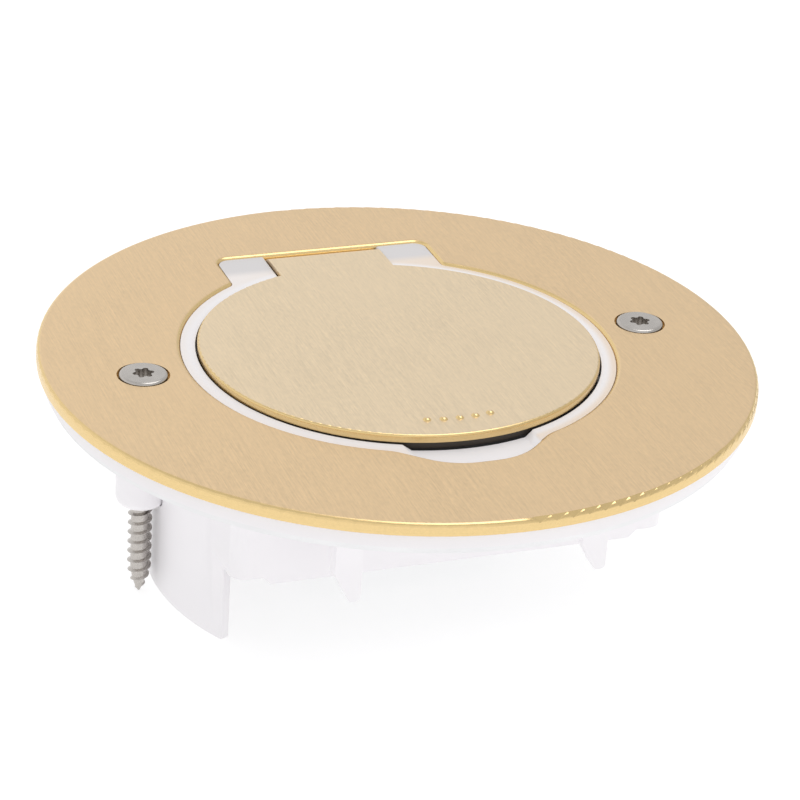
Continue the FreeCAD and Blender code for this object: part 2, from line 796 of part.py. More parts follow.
def make_contact_housing():
    """Block with a compartment for each contact, open above to the tray and below to the rear cover."""
    housing = housing_outline(housing_bottom, shelf_bottom)
    below = housing_bottom - overrun
    above = shelf_bottom + overrun
    tunnel_length = housing_outer_wall + 2 * overrun
    for side in (-1, 1):
        x0, x1 = sorted((side * compartment_inner_end, side * compartment_outer_end))
        compartment = block(x0, x1, -compartment_half_width, compartment_half_width, below, above)
        tunnel = rod_along(point(side, 0, 0), terminal_screw_access_radius,
                           point(side * (compartment_outer_end - overrun), 0, terminal_screw_level),
                           tunnel_length)
        housing = remove(housing, compartment, tunnel)
    earth_outer_end = housing_back - housing_outer_wall
    earth_compartment = block(-compartment_half_width, compartment_half_width,
                              compartment_half_width + pocket_wall, earth_outer_end, below, above)
    earth_tunnel = rod_along(WORLD_Y, terminal_screw_access_radius,
                             point(0, earth_outer_end - overrun, terminal_screw_level), tunnel_length)
    housing = remove(housing, earth_compartment, earth_tunnel)
    for x, y in cover_screw_places():
        housing = remove(housing, rod(small_hole_radius, below, above, x, y))
    return housing


def make_rear_cover():
    cover = housing_outline(cover_bottom, housing_bottom)
    entry_mouth = wire_entry_radius + wire_entry_lead_in
    below = cover_bottom - overrun
    above = housing_bottom + overrun
    lead_in_top = cover_bottom + wire_entry_lead_in
    outline = [(0, below), (entry_mouth, below), (entry_mouth, cover_bottom),
               (wire_entry_radius, lead_in_top), (wire_entry_radius, above), (0, above)]
    for x, y in [(-terminal_centre, 0), (terminal_centre, 0), (0, earth_terminal_y)]:
        cover = remove(cover, turned(outline, x, y))
    for x, y in cover_screw_places():
        cover = remove(cover, rod(small_hole_radius, below, above, x, y))
    return cover


def make_rear_cover_screws():
    screw = slotted_screw(small_screw_head_radius, small_screw_head_height, small_screw_shank_radius,
                          recess_floor + cover_screw_grip - cover_bottom)
    return [placed(screw, x, y, cover_bottom, WORLD_X, 180) for x, y in cover_screw_places()]


# ---------------------------------------------------------------- shutter, contacts and terminals
def make_shutter():
    """Bar over both contact holes; its sloped top lets the plug's pins push it towards -Y."""
    rim = shutter_bottom + ramp_rim_height
    bar = extrude_along_x([(-shutter_half_width, shutter_bottom), (shutter_half_width, shutter_bottom),
                           (shutter_half_width, rim), (-shutter_half_width / 2, shutter_top),
                           (-shutter_half_width, shutter_top)], -shutter_half_length, shutter_half_length)
    peg = rod_along(point(0, -1, 0), spring_peg_radius, point(0, sink - shutter_half_width, spring_z),
                    spring_peg_length + sink)
    return join(bar, peg)


def make_shutter_spring():
    """Coil spring along Y between the shutter's front and the chamber wall."""
    length = -shutter_half_width - chamber_front - 2 * (spring_wire_radius + spring_end_gap)
    pitch = length / spring_turns
    path = Part.makeHelix(pitch, length, spring_coil_radius)
    profile = Part.Wire([Part.makeCircle(spring_wire_radius, point(spring_coil_radius, 0, 0), WORLD_Y)])
    coil = Part.Wire(path).makePipeShell([profile], True, True)
    coil.rotate(point(0, 0, 0), WORLD_X, -90)
    coil.translate(point(0, chamber_front + spring_wire_radius + spring_end_gap, spring_z))
    return coil


def clip_leaf(side_of_pin, base_level, top_level):
    """One springy leaf beside the plug pin, pinched in above its middle."""
    near = clip_gap / 2
    pinch = base_level + (top_level - base_level) * clip_pinch_share
    inner = [(near + clip_flare, base_level), (near, pinch), (near + clip_flare, top_level)]
    outer = [(x + clip_thickness, z) for x, z in reversed(inner)]
    return [(side_of_pin * x, z) for x, z in inner + outer]


def make_line_contact(side):
    """Folded strip: a foot that reaches the terminal and two leaves that grip the plug's pin."""
    foot_high = terminal_bottom + clip_thickness
    inner_end = contact_x - clip_gap / 2 - clip_flare - clip_thickness
    contact = block(inner_end, terminal_centre - terminal_half_length, -clip_half_width, clip_half_width,
                    terminal_bottom, foot_high)
    for side_of_pin in (-1, 1):
        leaf = clip_leaf(side_of_pin, foot_high, shelf_bottom - leaf_end_gap)
        outline = [(contact_x + x, z) for x, z in leaf]
        contact = join(contact, extrude_along_y(outline, -clip_half_width, clip_half_width))
    if side < 0:
        contact = contact.mirror(point(0, 0, 0), WORLD_X)
    return contact


def make_line_terminal(side):
    centre = side * terminal_centre
    body = block(centre - terminal_half_length, centre + terminal_half_length, -terminal_half_width,
                 terminal_half_width, terminal_bottom, terminal_top)
    wire_hole = rod(wire_hole_radius, terminal_bottom - overrun, terminal_top + overrun, centre)
    screw_hole = rod_along(point(side, 0, 0), terminal_screw_radius + pilot_clearance,
                           point(centre, 0, terminal_screw_level), terminal_half_length + overrun)
    return remove(body, wire_hole, screw_hole)


def make_earth_terminal():
    body = block(-terminal_half_length, terminal_half_length, earth_terminal_y - terminal_half_length,
                 earth_terminal_y + terminal_half_length, terminal_bottom, earth_terminal_top)
    wire_hole = rod(wire_hole_radius, terminal_bottom - overrun, terminal_top + overrun,
                    0, earth_terminal_y)
    screw_hole = rod_along(WORLD_Y, terminal_screw_radius + pilot_clearance,
                           point(0, earth_terminal_y, terminal_screw_level), terminal_half_length + overrun)
    return remove(body, wire_hole, screw_hole)


def make_earth_strap():
    """Bent strip from under the rivet, down the back of the earth terminal."""
    front = earth_pin_offset - earth_rivet_radius - strap_thickness
    back = earth_back_face + strap_thickness
    low = shelf_bottom - strap_thickness
    strap = extrude_along_x([(front, shelf_bottom), (back, shelf_bottom), (back, terminal_bottom),
                             (earth_back_face, terminal_bottom), (earth_back_face, low), (front, low)],
                            -clip_half_width, clip_half_width)
    stem_hole = rod(stem_hole_radius, low - overrun, shelf_bottom + overrun, 0, earth_pin_offset)
    screw_hole = rod_along(WORLD_Y, terminal_screw_radius + strap_screw_clearance,
                           point(0, earth_back_face - overrun, terminal_screw_level),
                           strap_thickness + 2 * overrun)
    return remove(strap, stem_hole, screw_hole)


def grub_screw(length):
    """Slotted screw without a head, standing on z = 0 with its slot on top."""
    half_slot = small_screw_slot_width / 2
    slot = block(-cutter_reach, cutter_reach, -half_slot, half_slot,
                 length - small_screw_slot_depth, length + overrun)
    return remove(rod(terminal_screw_radius, 0, length), slot)


def make_terminal_screws():
    """Slotted grub screws that clamp the wires, sunk a little in the housing's outer faces."""
    side_screw = grub_screw(housing_half_length - terminal_screw_sink - terminal_screw_end)
    screws = [placed(side_screw, side * terminal_screw_end, 0, terminal_screw_level, WORLD_Y, side * 90)
              for side in (-1, 1)]
    back_start = earth_terminal_y + wire_hole_radius + terminal_screw_tip_gap
    back_screw = grub_screw(housing_back - terminal_screw_sink - back_start)
    screws.append(placed(back_screw, 0, back_start, terminal_screw_level, WORLD_X, -90))
    return screws


# ---------------------------------------------------------------- the parts
def parts():
    return {
        "cover_plate": make_cover_plate(),
        "plate_screws": make_plate_screws(),
        "floor_seal": make_floor_seal(),
        "support_frame": make_support_frame(),
        "guard_skirt": make_guard_skirt(),
        "aperture_liner": make_aperture_liner(),
        "liner_screws": make_liner_screws(),
        "lid_plate": make_lid_plate(),
        "lid_backing": make_lid_backing(),
        "lid_seal": make_lid_seal(),
        "hinge_pin": make_hinge_pin(),
        "socket_face": make_socket_face(),
        "recess_floor": make_recess_floor(),
        "socket_seal": make_socket_seal(),
        "socket_screws": make_socket_screws(),
        "earth_pin": make_earth_pin(),
        "earth_strap": make_earth_strap(),
        "shutter_tray": make_shutter_tray(),
        "contact_housing": make_contact_housing(),
        "shutter": make_shutter(),
        "shutter_spring": make_shutter_spring(),
        "live_contact": make_line_contact(-1),
        "neutral_contact": make_line_contact(1),
        "live_terminal": make_line_terminal(-1),
        "neutral_terminal": make_line_terminal(1),
        "earth_terminal": make_earth_terminal(),
        "terminal_screws": make_terminal_screws(),
        "rear_cover": make_rear_cover(),
        "rear_cover_screws": make_rear_cover_screws(),
    }


def main():
    os.makedirs("parts", exist_ok=True)
    for node, shape in parts().items():
        solid = Part.makeCompound(shape) if isinstance(shape, list) else shape
        solid.exportStep("parts/" + node + ".step")


main()
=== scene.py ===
import math

import bmesh
import bpy
from mathutils import Euler, Matrix, Vector


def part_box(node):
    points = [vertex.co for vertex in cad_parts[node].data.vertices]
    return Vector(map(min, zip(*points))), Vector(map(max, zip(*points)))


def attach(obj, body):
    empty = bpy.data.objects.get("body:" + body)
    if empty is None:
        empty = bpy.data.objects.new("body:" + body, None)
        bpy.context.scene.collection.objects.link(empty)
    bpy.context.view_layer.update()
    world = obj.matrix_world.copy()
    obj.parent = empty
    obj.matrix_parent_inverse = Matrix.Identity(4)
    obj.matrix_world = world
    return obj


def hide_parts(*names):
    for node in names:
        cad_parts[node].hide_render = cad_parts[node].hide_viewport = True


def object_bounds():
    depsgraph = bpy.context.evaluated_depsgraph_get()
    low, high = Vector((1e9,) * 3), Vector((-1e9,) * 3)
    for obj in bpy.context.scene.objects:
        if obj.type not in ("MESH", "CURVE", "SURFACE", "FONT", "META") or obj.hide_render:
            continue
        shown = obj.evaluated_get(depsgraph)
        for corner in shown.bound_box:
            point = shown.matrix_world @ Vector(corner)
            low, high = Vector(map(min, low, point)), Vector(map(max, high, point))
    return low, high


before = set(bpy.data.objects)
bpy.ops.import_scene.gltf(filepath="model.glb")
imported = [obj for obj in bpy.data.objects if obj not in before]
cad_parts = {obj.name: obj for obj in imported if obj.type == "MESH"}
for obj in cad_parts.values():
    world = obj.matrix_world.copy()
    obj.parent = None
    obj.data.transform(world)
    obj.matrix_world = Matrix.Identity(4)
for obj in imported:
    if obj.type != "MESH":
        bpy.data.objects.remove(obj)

bl_info = {
    "name": "Floor socket box finish",
    "version": (1, 0, 0),
    "blender": (4, 5, 0),
    "location": "3D View > Sidebar > Floor Box",
    "description": "Finishes the pieces of a brass floor socket box and sets up a plain studio round it",
    "category": "Object",
}

MM = 0.001
MERGE_DISTANCE = 0.002 * MM
FLAT_ANGLE = math.radians(0.2)
SHARP_ANGLE = math.radians(38)
THREAD_STEPS = 32
TIP_SHARE = 0.15
GRAIN_DARK = 0.84
GRAIN_BRIGHT = 1.105
SCRATCH_DARK = 0.84
CLOUD_BRIGHT = 1.03
FACE_ROUGHNESS_SPREAD = 0.06

cad_low, cad_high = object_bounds()
plate_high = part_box("cover_plate")[1]
liner_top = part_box("aperture_liner")[1].z
screw_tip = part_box("plate_screws")[0].z


# ---------------------------------------------------------------- settings a user would change
class BrassSettings(bpy.types.PropertyGroup):
    face_colour: bpy.props.FloatVectorProperty(
        name="Face colour", description="Brushed faces of the plate", subtype="COLOR", size=4,
        min=0.0, max=1.0, default=(0.815, 0.605, 0.365, 1.0))
    # Painted sheen: the lid is coloured paler than the plate's face, standing in for the brighter light it
    # reflects.
    lid_painted_sheen_colour: bpy.props.FloatVectorProperty(
        name="Lid colour", description="Brushed face of the lid", subtype="COLOR", size=4,
        min=0.0, max=1.0, default=(0.84, 0.685, 0.475, 1.0))
    edge_colour: bpy.props.FloatVectorProperty(
        name="Edge colour", description="Polished edges of plate and lid", subtype="COLOR", size=4,
        min=0.0, max=1.0, default=(0.80, 0.595, 0.29, 1.0))
    tab_start: bpy.props.FloatProperty(
        name="Tab start", description="Behind this line the lid's hinge tab has no polished edge",
        unit="LENGTH", default=0.0362)
    hinge_line: bpy.props.FloatProperty(
        name="Hinge line", description="From the centre line back to the lid's hinge", unit="LENGTH",
        default=0.0414)
    curl_reach: bpy.props.FloatProperty(
        name="Curl reach", description="How much fuller the tab's curl is behind the hinge", min=1.0, max=1.1,
        default=1.09)
    grain_width: bpy.props.FloatProperty(
        name="Grain width", description="Width of one brushed line", unit="LENGTH", default=0.00024,
        precision=5)
    grain_length: bpy.props.FloatProperty(
        name="Grain length", description="Length of one brushed line", unit="LENGTH", default=0.009)
    face_roughness: bpy.props.FloatProperty(
        name="Face roughness", description="Roughness of the brushed faces", subtype="FACTOR",
        min=0.0, max=1.0, default=0.36)
    edge_roughness: bpy.props.FloatProperty(
        name="Edge roughness", description="Roughness of the polished edges", subtype="FACTOR",
        min=0.0, max=1.0, default=0.26)


class MouldingSettings(bpy.types.PropertyGroup):
    white: bpy.props.FloatVectorProperty(
        name="White", description="Frame, liner and socket face", subtype="COLOR", size=4,
        min=0.0, max=1.0, default=(0.87, 0.85, 0.87, 1.0))
    black: bpy.props.FloatVectorProperty(
        name="Black", description="Lid backing", subtype="COLOR", size=4,
        min=0.0, max=1.0, default=(0.050, 0.041, 0.033, 1.0))
    # Painted shade: the greyer colour laid on the liner's blocks beside the hinge.
    painted_hinge_shade: bpy.props.FloatVectorProperty(
        name="Hinge shade", description="Liner's blocks beside the hinge", subtype="COLOR",
        size=4, min=0.0, max=1.0, default=(0.66, 0.64, 0.645, 1.0))
    # Painted reflection: the brass colour of the plate laid onto the white lip beside it.
    painted_brass_reflection: bpy.props.FloatVectorProperty(
        name="Brass glow", description="Liner's lip where it takes colour from the plate", subtype="COLOR",
        size=4, min=0.0, max=1.0, default=(0.81, 0.69, 0.58, 1.0))
    lip_reach: bpy.props.FloatProperty(
        name="Lip reach", description="Radius of the liner's lip inside the plate", unit="LENGTH",
        default=0.03936, precision=5)
    grey: bpy.props.FloatVectorProperty(
        name="Grey", description="Contact housing and rear cover", subtype="COLOR", size=4,
        min=0.0, max=1.0, default=(0.33, 0.34, 0.36, 1.0))
    orange: bpy.props.FloatVectorProperty(
        name="Orange", description="Shutter", subtype="COLOR", size=4,
        min=0.0, max=1.0, default=(0.75, 0.17, 0.03, 1.0))
    rubber: bpy.props.FloatVectorProperty(
        name="Rubber", description="Seals under the lid and the socket face", subtype="COLOR", size=4,
        min=0.0, max=1.0, default=(0.022, 0.022, 0.023, 1.0))
    foam: bpy.props.FloatVectorProperty(
        name="Foam", description="Seal between frame and floor", subtype="COLOR", size=4,
        min=0.0, max=1.0, default=(0.86, 0.86, 0.87, 1.0))
    edge_round: bpy.props.FloatProperty(
        name="Edge round", description="Radius on the edges of moulded pieces", unit="LENGTH",
        default=0.00018, precision=5)
    block_round: bpy.props.FloatProperty(
        name="Block round", description="Radius on the liner's blocks beside the lid's tab", unit="LENGTH",
        default=0.0005, precision=5)


class MetalSettings(bpy.types.PropertyGroup):
    stainless: bpy.props.FloatVectorProperty(
        name="Stainless", description="Plate screws and hinge pin", subtype="COLOR", size=4,
        min=0.0, max=1.0, default=(0.55, 0.52, 0.49, 1.0))
    zinc: bpy.props.FloatVectorProperty(
        name="Zinc", description="Small screws", subtype="COLOR", size=4,
        min=0.0, max=1.0, default=(0.60, 0.62, 0.66, 1.0))
    nickel: bpy.props.FloatVectorProperty(
        name="Nickel", description="Earth pin", subtype="COLOR", size=4,
        min=0.0, max=1.0, default=(0.62, 0.59, 0.53, 1.0))
    contact: bpy.props.FloatVectorProperty(
        name="Contact brass", description="Clips, strap and terminals", subtype="COLOR", size=4,
        min=0.0, max=1.0, default=(0.74, 0.50, 0.20, 1.0))
    head_centre: bpy.props.FloatProperty(
        name="Head centre", description="From the centre line to a plate screw's axis", unit="LENGTH",
        default=0.0477)
    shank_depth: bpy.props.FloatProperty(
        name="Shank depth", description="How far the plain shank reaches below the floor", unit="LENGTH",
        default=0.012)
    thread_pitch: bpy.props.FloatProperty(
        name="Thread pitch", description="Pitch of the plate screws", unit="LENGTH", default=0.00193,
        precision=5)
    thread_core: bpy.props.FloatProperty(
        name="Thread core", description="Radius between the thread's crests", unit="LENGTH", default=0.00165,
        precision=5)
    thread_crest: bpy.props.FloatProperty(
        name="Thread crest", description="Radius at the thread's crests", unit="LENGTH", default=0.0022,
        precision=5)
    tip_length: bpy.props.FloatProperty(
        name="Tip length", description="Length over which the screw narrows to its tip", unit="LENGTH",
        default=0.006)


class StudioSettings(bpy.types.PropertyGroup):
    floor_colour: bpy.props.FloatVectorProperty(
        name="Floor", description="Colour of floor and surroundings", subtype="COLOR", size=4,
        min=0.0, max=1.0, default=(0.38, 0.38, 0.38, 1.0))
    fill: bpy.props.FloatProperty(
        name="Fill", description="Light from all round", min=0.0, max=2.0, default=0.87)
    fill_left: bpy.props.FloatProperty(
        name="Fill left", description="The same, from the far left", min=0.0, max=2.0, default=0.67)
    ceiling: bpy.props.FloatProperty(
        name="Ceiling", description="How bright shiny faces see the room overhead", min=0.0, max=2.0,
        default=0.77)
    far_side: bpy.props.FloatProperty(
        name="Far side", description="How bright shiny faces see the room on the right", min=0.0, max=2.0,
        default=0.72)
    floor_glow: bpy.props.FloatProperty(
        name="Floor glow", description="Light the floor gives to what stands over it", min=0.0, max=2.0,
        default=0.88)
    floor_white: bpy.props.FloatProperty(
        name="Floor white", description="Brightness added where the floor is looked at", min=0.0, max=2.0,
        default=0.74)
    key_power: bpy.props.FloatProperty(
        name="Key", description="Power of the soft lamp overhead", unit="POWER", default=1.5)
    key_size: bpy.props.FloatProperty(
        name="Key size", description="Side of the soft lamp overhead", unit="LENGTH", default=0.5)
    key_place: bpy.props.FloatVectorProperty(
        name="Key place", description="Where the soft lamp hangs", subtype="XYZ", unit="LENGTH",
        default=(0.22, -0.02, 0.75))
    camera_azimuth: bpy.props.FloatProperty(
        name="Azimuth", description="Turn of the view round the object", unit="ROTATION",
        default=math.radians(-21.774))
    camera_elevation: bpy.props.FloatProperty(
        name="Elevation", description="Height of the view above the horizon", unit="ROTATION",
        default=math.radians(26.72))
    camera_roll: bpy.props.FloatProperty(
        name="Roll", description="Lean of the view", unit="ROTATION", default=math.radians(3.85))
    camera_distance: bpy.props.FloatProperty(
        name="Distance", description="From the aimed point to the camera", unit="LENGTH", default=0.5306)
    camera_target: bpy.props.FloatVectorProperty(
        name="Target", description="Aimed point", subtype="XYZ", unit="LENGTH",
        default=(-0.00077, -0.00418, -0.00219))
    camera_lens: bpy.props.FloatProperty(
        name="Lens", description="Focal length", unit="CAMERA", default=132.28)


# ---------------------------------------------------------------- material nodes
class NodeTree:
    """Short ways to add and join nodes."""

    def __init__(self, tree):
        self.nodes = tree.nodes
        self.links = tree.links

    def node(self, kind, **values):
        made = self.nodes.new("ShaderNode" + kind)
        for key, value in values.items():
            setattr(made, key, value)
        return made

    def link(self, start, end):
        self.links.new(start, end)

    def ranged(self, value, low, high, from_low=0.0, from_high=1.0, smooth=False):
        made = self.node("MapRange")
        if smooth:
            made.interpolation_type = "SMOOTHSTEP"
        made.inputs["From Min"].default_value = from_low
        made.inputs["From Max"].default_value = from_high
        made.inputs["To Min"].default_value = low
        made.inputs["To Max"].default_value = high
        self.link(value, made.inputs["Value"])
        return made.outputs["Result"]

    def math(self, operation, first, second=0.0):
        made = self.node("Math", operation=operation)
        for socket, value in zip(made.inputs, (first, second)):
            if isinstance(value, (int, float)):
                socket.default_value = value
            else:
                self.link(value, socket)
        return made.outputs["Value"]

    def blended(self, factor, first, second):
        """Number that goes from first to second as the factor goes from 0 to 1."""
        second_part = self.math("MULTIPLY", factor, second)
        first_part = self.math("MULTIPLY", self.math("SUBTRACT", 1.0, factor), first)
        return self.math("ADD", first_part, second_part)

    def seen_directly(self):
        """1 for rays from the camera, off glossy faces and through clear ones, else 0."""
        path = self.node("LightPath")
        either = self.math("MAXIMUM", path.outputs["Is Camera Ray"], path.outputs["Is Glossy Ray"])
        return self.math("MAXIMUM", either, path.outputs["Is Transmission Ray"])


class Shader(NodeTree):
    """A new Principled material and short ways to add nodes to it."""

    def __init__(self, name):
        self.material = bpy.data.materials.new(name)
        self.material.use_nodes = True
        super().__init__(self.material.node_tree)
        self.surface = self.nodes["Principled BSDF"]
        self.coordinates = self.node("TexCoord")

    def set(self, **values):
        for key, value in values.items():
            self.surface.inputs[key.replace("_", " ")].default_value = value

    def stretched(self, scale):
        """Object coordinates multiplied per axis."""
        mapping = self.node("Mapping")
        mapping.inputs["Scale"].default_value = scale
        self.link(self.coordinates.outputs["Object"], mapping.inputs["Vector"])
        return mapping.outputs["Vector"]

    def noise(self, scale, detail=2.0, roughness=0.5):
        """Noise between 0 and 1 whose grains measure 1 / scale along each axis, in metres."""
        made = self.node("TexNoise")
        made.inputs["Scale"].default_value = 1.0
        made.inputs["Detail"].default_value = detail
        made.inputs["Roughness"].default_value = roughness
        self.link(self.stretched(scale), made.inputs["Vector"])
        return made.outputs["Fac"]

    def mixed(self, factor, first, second):
        """Colour mixed from first to second; each is a colour or another node's output."""
        made = self.node("Mix", data_type="RGBA")
        self.link(factor, made.inputs["Factor"])
        for socket, value in ((made.inputs[6], first), (made.inputs[7], second)):
            if isinstance(value, bpy.types.NodeSocket):
                self.link(value, socket)
            else:
                socket.default_value = value
        return made.outputs[2]

    def bump(self, height, strength, distance):
        made = self.node("Bump")
        made.inputs["Strength"].default_value = strength
        made.inputs["Distance"].default_value = distance
        self.link(height, made.inputs["Height"])
        self.link(made.outputs["Normal"], self.surface.inputs["Normal"])

    def sidedness(self, back_limit):
        """1 on edges and sides that stand forward of y = back_limit, 0 elsewhere."""
        normal = self.node("SeparateXYZ")
        self.link(self.coordinates.outputs["Normal"], normal.inputs["Vector"])
        place = self.node("SeparateXYZ")
        self.link(self.coordinates.outputs["Object"], place.inputs["Vector"])
        steep = self.ranged(self.math("ABSOLUTE", normal.outputs["Z"]), 1.0, 0.0, 0.90, 0.985, smooth=True)
        return self.math("MULTIPLY", steep, self.math("LESS_THAN", place.outputs["Y"], back_limit))


def shade(colour, factor):
    return tuple(channel * factor for channel in colour[:3]) + (1.0,)


def brushed_brass(name, face_colour, settings, back_limit):
    """Fine lines along Y, sparse darker scratches and faint clouds; edges forward of back_limit polished."""
    shader = Shader(name)
    across = 1.0 / settings.grain_width
    along = 1.0 / settings.grain_length
    fine = shader.noise((across, along, across), detail=3.0, roughness=0.65)
    fleck = shader.noise((across / 2, across / 6, across / 2), detail=2.0)
    scratch = shader.noise((across / 2, along / 2, across / 2), detail=1.0)
    cloud = shader.noise((60.0, 35.0, 60.0), detail=3.0)
    sides = shader.sidedness(back_limit)
    grain = shader.blended(0.35, fine, fleck)
    brushed = shader.mixed(shader.ranged(grain, 0.0, 1.0, 0.3, 0.7), shade(face_colour, GRAIN_DARK),
                           shade(face_colour, GRAIN_BRIGHT))
    scratched = shader.mixed(shader.ranged(scratch, 0.0, 0.6, 0.64, 0.78), brushed,
                             shade(face_colour, SCRATCH_DARK))
    clouded = shader.mixed(shader.ranged(cloud, 0.0, 0.45, 0.35, 0.75), scratched,
                           shade(face_colour, CLOUD_BRIGHT))
    polished = shader.mixed(fleck, shade(settings.edge_colour, 0.92), shade(settings.edge_colour, 1.05))
    shader.link(shader.mixed(sides, clouded, polished), shader.surface.inputs["Base Color"])
    middle = settings.face_roughness
    face_roughness = shader.ranged(grain, middle - FACE_ROUGHNESS_SPREAD, middle + FACE_ROUGHNESS_SPREAD,
                                   0.3, 0.7)
    edge_roughness = shader.ranged(cloud, settings.edge_roughness - 0.04, settings.edge_roughness + 0.05)
    shader.link(shader.blended(sides, face_roughness, edge_roughness), shader.surface.inputs["Roughness"])
    shader.set(Metallic=1.0)
    shader.bump(shader.blended(sides, grain, 0.5), 0.3, 0.008 * MM)
    return shader.material


def moulding_shader(name, colour, roughness=0.38, texture=0.25, speck=0.04):
    """Injection-moulded plastic: fine spark texture, faint flow clouds, small roughness changes."""
    shader = Shader(name)
    spark = shader.noise((3600.0, 3600.0, 3600.0), detail=2.0, roughness=0.6)
    cloud = shader.noise((55.0, 55.0, 90.0), detail=3.0)
    tint = shader.mixed(cloud, shade(colour, 1.0 - speck), shade(colour, 1.0 + speck / 2))
    shader.link(tint, shader.surface.inputs["Base Color"])
    worn = shader.math("ADD", shader.math("MULTIPLY", spark, 0.6), shader.math("MULTIPLY", cloud, 0.4))
    shader.link(shader.ranged(worn, roughness - 0.07, roughness + 0.09), shader.surface.inputs["Roughness"])
    shader.set(IOR=1.49)
    shader.bump(spark, texture, 0.02 * MM)
    return shader


def moulded_plastic(*settings):
    return moulding_shader(*settings).material


def liner_plastic(name, settings):
    """White moulding with painted shade by the hinge and a painted brass reflection on the lip, most on the
    right.
    """
    shader = moulding_shader(name, settings.white)
    place = shader.node("SeparateXYZ")
    shader.link(shader.coordinates.outputs["Object"], place.inputs["Vector"])
    radius = shader.node("VectorMath", operation="LENGTH")
    shader.link(shader.stretched((1.0, 1.0, 0.0)), radius.inputs[0])
    reach = settings.lip_reach
    rim = shader.ranged(radius.outputs["Value"], 0.0, 1.0, reach - 1.9 * MM, reach - 0.3 * MM, smooth=True)
    on_top = shader.ranged(place.outputs["Z"], 0.0, 1.0, liner_top - 0.3 * MM, liner_top)
    rightwards = shader.ranged(place.outputs["X"], 0.25, 1.0, -0.6 * reach, 0.6 * reach)
    # Painted shade: greyer towards the hinge, where the blocks lie in shade.
    hinge_shade_mask = shader.ranged(place.outputs["Y"], 0.0, 1.0, 0.92 * reach, reach, smooth=True)
    base = shader.surface.inputs["Base Color"]
    plain = base.links[0].from_socket
    # Painted reflection of the brass on the lip's top, strongest on the right.
    reflection_mask = shader.math("MULTIPLY", shader.math("MULTIPLY", rim, on_top), rightwards)
    with_painted_reflection = shader.mixed(reflection_mask, plain, settings.painted_brass_reflection)
    shader.link(shader.mixed(hinge_shade_mask, with_painted_reflection, settings.painted_hinge_shade), base)
    return shader.material


def soft_rubber(name, colour, roughness=0.68, grain=0.35):
    shader = Shader(name)
    fine = shader.noise((5200.0, 5200.0, 5200.0), detail=3.0, roughness=0.65)
    bloom = shader.noise((260.0, 260.0, 500.0), detail=3.0)
    tint = shader.mixed(shader.ranged(bloom, 0.0, 1.0, 0.35, 0.75), colour, shade(colour, 1.5))
    shader.link(tint, shader.surface.inputs["Base Color"])
    shader.link(shader.ranged(bloom, roughness - 0.08, roughness + 0.12), shader.surface.inputs["Roughness"])
    shader.bump(fine, grain, 0.03 * MM)
    return shader.material


def closed_foam(name, colour):
    shader = Shader(name)
    cells = shader.node("TexVoronoi", feature="F1")
    cells.inputs["Scale"].default_value = 1.0
    shader.link(shader.stretched((2600.0, 2600.0, 2600.0)), cells.inputs["Vector"])
    cloud = shader.noise((120.0, 120.0, 300.0), detail=3.0)
    tint = shader.mixed(cloud, shade(colour, 0.93), shade(colour, 1.04))
    shader.link(tint, shader.surface.inputs["Base Color"])
    shader.link(shader.ranged(cells.outputs["Distance"], 0.7, 0.95), shader.surface.inputs["Roughness"])
    shader.bump(cells.outputs["Distance"], 0.5, 0.06 * MM)
    return shader.material


def plain_metal(name, colour, roughness=0.3, grain=(900.0, 900.0, 5200.0), tarnish=0.12):
    """Turned, rolled or plated metal: lines along one direction, a little tarnish in broad clouds."""
    shader = Shader(name)
    lines = shader.noise(grain, detail=3.0, roughness=0.6)
    cloud = shader.noise((400.0, 400.0, 400.0), detail=3.0)
    tint = shader.mixed(cloud, shade(colour, 1.0 - tarnish), shade(colour, 1.0 + tarnish / 3))
    shader.link(tint, shader.surface.inputs["Base Color"])
    shader.link(shader.ranged(lines, roughness - 0.08, roughness + 0.1), shader.surface.inputs["Roughness"])
    shader.set(Metallic=1.0)
    shader.bump(lines, 0.25, 0.008 * MM)
    return shader.material


# ---------------------------------------------------------------- making pieces
def merged_copy(node):
    """A CAD node as a bmesh: its loose triangles joined, flat faces made whole."""
    shape = bmesh.new()
    shape.from_mesh(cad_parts[node].data)
    bmesh.ops.remove_doubles(shape, verts=shape.verts, dist=MERGE_DISTANCE)
    bmesh.ops.dissolve_limit(shape, angle_limit=FLAT_ANGLE, verts=shape.verts, edges=shape.edges)
    return shape


def finish_piece(shape, name, body, node, material, edge_round=0.0):
    """Turns a bmesh into a piece that stands for a CAD node: sharp edges kept, round faces smooth."""
    for face in shape.faces:
        face.smooth = True
        face.material_index = 0
    for edge in shape.edges:
        edge.smooth = len(edge.link_faces) == 2 and edge.calc_face_angle(0.0) < SHARP_ANGLE
    mesh = bpy.data.meshes.new(name)
    shape.to_mesh(mesh)
    shape.free()
    mesh.materials.append(material)
    piece = bpy.data.objects.new(name, mesh)
    bpy.context.scene.collection.objects.link(piece)
    if edge_round > 0.0:
        bevel = piece.modifiers.new("Edge round", "BEVEL")
        bevel.width = edge_round
        bevel.segments = 2
        bevel.limit_method = "ANGLE"
        bevel.angle_limit = SHARP_ANGLE
        bevel.harden_normals = False
    normals = piece.modifiers.new("Face normals", "WEIGHTED_NORMAL")
    normals.mode = "FACE_AREA"
    normals.keep_sharp = True
    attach(piece, body)
    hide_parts(node)
    return piece


def finished_node(node, body, material, edge_round=0.0):
    return finish_piece(merged_copy(node), node + "_finished", body, node, material, edge_round)


